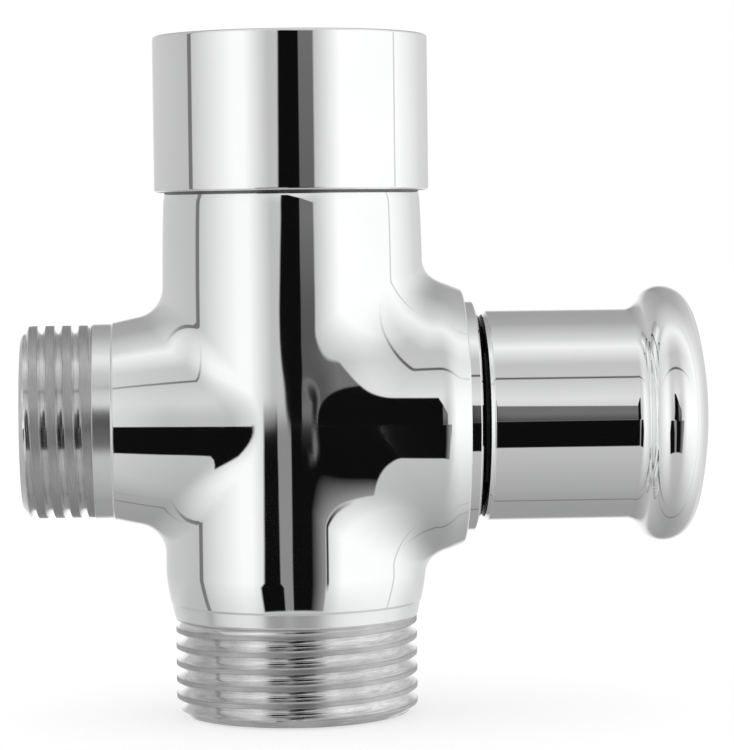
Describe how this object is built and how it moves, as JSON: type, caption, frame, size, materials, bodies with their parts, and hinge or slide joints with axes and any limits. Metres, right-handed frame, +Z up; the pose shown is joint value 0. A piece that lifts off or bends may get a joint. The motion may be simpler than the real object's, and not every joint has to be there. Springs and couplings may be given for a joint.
{
  "type": "shower diverter valve",
  "caption": "Chrome pull-knob diverter valve: threaded inlet socket on top, spout thread below, hose thread at the left and a sprung pull knob at the right.",
  "frame": {"origin": "centre of the spout outlet's end face, where the valve stands", "axes": "+Z up the barrel to the inlet socket, +X along the branch axis to the knob, +Y away from the viewer"},
  "size_m": [0.0747, 0.03, 0.0739],
  "materials": {
    "chrome_body": "polished",
    "chrome_trim": "polished",
    "chrome_knob": "polished",
    "brass": "satin",
    "steel": "satin",
    "rubber": "matte",
    "plastic": "matte"
  },
  "bodies": {
    "valve": {"valve_body": "chrome_body", "inlet_washer": "rubber", "seat_cage": "plastic", "cage_o_ring": "rubber", "bonnet": "chrome_trim", "bonnet_o_ring": "rubber", "stem_o_ring_inner": "rubber", "stem_o_ring_outer": "rubber", "gland_bush": "plastic", "return_spring": "steel"},
    "slider": {"spring_washer": "steel"},
    "knob_and_stem": {"stem": "brass", "knob": "chrome_knob", "knob_lock_nut": "brass", "valve_disc": "brass", "hose_seal": "rubber", "spout_seal": "rubber", "back_washer": "brass", "front_washer": "brass", "tail_nut": "brass"}
  },
  "joints": [
    {"name": "knob_pull", "type": "slide", "parent": "valve", "child": "slider", "axis": [1, 0, 0], "range_m": [0, 0.0055], "stiffness_N_per_m": 400, "springref_m": -0.004, "deforming": ["return_spring"]},
    {"name": "knob_turn", "type": "hinge", "parent": "slider", "child": "knob_and_stem", "pos_m": [0, 0, 0.0322], "axis": [1, 0, 0], "continuous": true}
  ]
}
